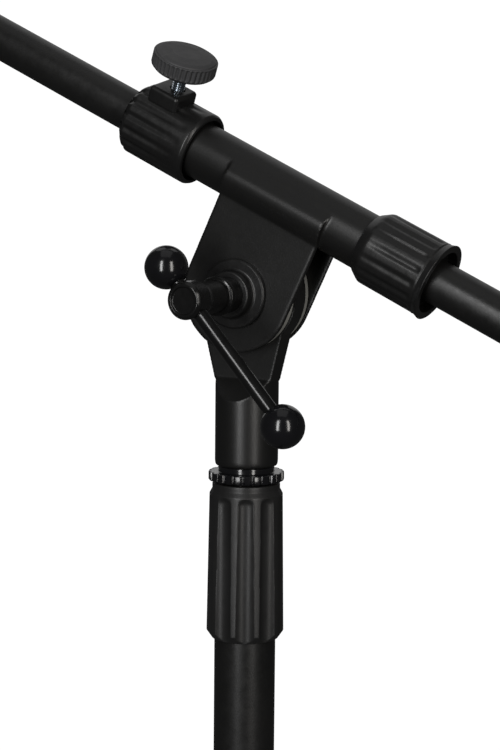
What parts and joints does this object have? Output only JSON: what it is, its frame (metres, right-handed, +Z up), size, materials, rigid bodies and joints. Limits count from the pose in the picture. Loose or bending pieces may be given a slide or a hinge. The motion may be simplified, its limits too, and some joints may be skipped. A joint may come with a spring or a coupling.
{
  "type": "boom microphone stand",
  "caption": "Tripod microphone stand whose boom slides through a clamped saddle, tilts on a T-bar clamp, and turns and rises on a telescoping upright.",
  "frame": {"origin": "on the floor, on the axis of the upright", "axes": "+Z up the upright; the boom lies in the XZ plane with its microphone end towards -X; the T-bar clamp is on the -Y side"},
  "size_m": [0.8504, 0.587, 1.2901],
  "materials": {
    "tube_black": "satin black powder coat",
    "cast_black": "satin black coat on a casting",
    "moulded_black": "semi-gloss black moulding",
    "grip_black": "satin black moulding",
    "gloss_black": "polished black",
    "bar_black": "gloss black plate",
    "bolt_black": "black oxide",
    "knob_grey": "fine-grained dark grey moulding",
    "steel_zinc": "bright zinc plate",
    "adapter_steel": "machined steel",
    "nylon_pale": "natural nylon",
    "friction_grey": "grey friction fibre",
    "boot_rubber": "matte black rubber"
  },
  "bodies": {
    "base": {"base_hub": "cast_black", "lower_tube": "tube_black", "lower_plug": "moulded_black", "clutch_insert": "moulded_black", "hinge_pins": "steel_zinc", "pin_caps": "steel_zinc"},
    "leg_front": {"leg_front_lug": "cast_black", "leg_front_tube": "tube_black", "leg_front_boot": "boot_rubber"},
    "leg_left": {"leg_left_lug": "cast_black", "leg_left_tube": "tube_black", "leg_left_boot": "boot_rubber"},
    "leg_right": {"leg_right_lug": "cast_black", "leg_right_tube": "tube_black", "leg_right_boot": "boot_rubber"},
    "collet": {"clutch_collet": "nylon_pale"},
    "grip": {"clutch_grip": "grip_black"},
    "bushing": {"guide_bushing": "nylon_pale"},
    "upper": {"inner_tube": "tube_black", "tube_stopper": "moulded_black", "bushing_clip": "steel_zinc", "yoke": "cast_black", "lock_ring": "gloss_black", "friction_discs": "friction_grey"},
    "saddle": {"sleeve": "tube_black", "cheek_front": "tube_black", "cheek_rear": "tube_black", "boom_liners": "nylon_pale", "front_collar": "moulded_black", "rear_collar": "moulded_black", "captive_nut": "steel_zinc", "clamp_bolt": "bolt_black"},
    "thrust": {"clamp_washer": "moulded_black"},
    "clamp_hub": {"clamp_hub": "bar_black"},
    "t_bar": {"t_bar": "bar_black", "bar_balls": "gloss_black"},
    "pad": {"pressure_pad": "nylon_pale"},
    "thumbscrew": {"thumb_screw": "steel_zinc", "thumb_knob": "knob_grey"},
    "boom": {"boom_tube": "tube_black", "mic_adapter": "adapter_steel", "rear_cap": "moulded_black"}
  },
  "joints": [
    {"name": "leg_front_fold", "type": "hinge", "parent": "base", "child": "leg_front", "pos_m": [-0.038, 0, 0.096], "axis": [0, -1, 0], "range_deg": [0, 73.4]},
    {"name": "leg_left_fold", "type": "hinge", "parent": "base", "child": "leg_left", "pos_m": [0.019, -0.03291, 0.096], "axis": [0.866, 0.5, 0], "range_deg": [0, 73.4]},
    {"name": "leg_right_fold", "type": "hinge", "parent": "base", "child": "leg_right", "pos_m": [0.019, 0.03291, 0.096], "axis": [-0.866, 0.5, 0], "range_deg": [0, 73.4]},
    {"name": "collet_lift", "type": "slide", "parent": "base", "child": "collet", "axis": [0, 0, 1], "range_m": [0, 0.00062]},
    {"name": "clutch_turn", "type": "hinge", "parent": "collet", "child": "grip", "pos_m": [0, 0, 0.84], "axis": [0, 0, 1], "range_deg": [0, 150]},
    {"name": "height_slide", "type": "slide", "parent": "base", "child": "bushing", "axis": [0, 0, 1], "range_m": [0, 0.6]},
    {"name": "boom_swivel", "type": "hinge", "parent": "bushing", "child": "upper", "pos_m": [0, 0, 0.96], "axis": [0, 0, 1], "continuous": true},
    {"name": "boom_tilt", "type": "hinge", "parent": "upper", "child": "saddle", "pos_m": [0, 0, 0.96], "axis": [0, 1, 0], "range_deg": [-115.1, 64.9]},
    {"name": "washer_slide", "type": "slide", "parent": "saddle", "child": "thrust", "axis": [0, -1, 0], "range_m": [0, 0.00104]},
    {"name": "clamp_turn", "type": "hinge", "parent": "thrust", "child": "clamp_hub", "pos_m": [0, -0.03, 0.96], "axis": [0, -1, 0], "range_deg": [0, 300]},
    {"name": "bar_slide", "type": "slide", "parent": "clamp_hub", "child": "t_bar", "axis": [-0.6613, 0, 0.7501], "range_m": [0, 0.0496]},
    {"name": "pad_slide", "type": "slide", "parent": "saddle", "child": "pad", "axis": [0.4097, -0.2588, 0.8747], "range_m": [0, 0.00199]},
    {"name": "thumbscrew_turn", "type": "hinge", "parent": "pad", "child": "thumbscrew", "pos_m": [-0.04207, 0, 1.0305], "axis": [0.4097, -0.2588, 0.8747], "range_deg": [0, 720]},
    {"name": "boom_slide", "type": "slide", "parent": "saddle", "child": "boom", "axis": [-0.9056, 0, 0.4242], "range_m": [-0.54, 0.175]}
  ],
  "couplings": [
    {"joint": "clutch_turn", "follows": "collet_lift", "rad_per_m": 4188.8},
    {"joint": "clamp_turn", "follows": "washer_slide", "rad_per_m": 5026.5},
    {"joint": "thumbscrew_turn", "follows": "pad_slide", "rad_per_m": 6283.2}
  ]
}
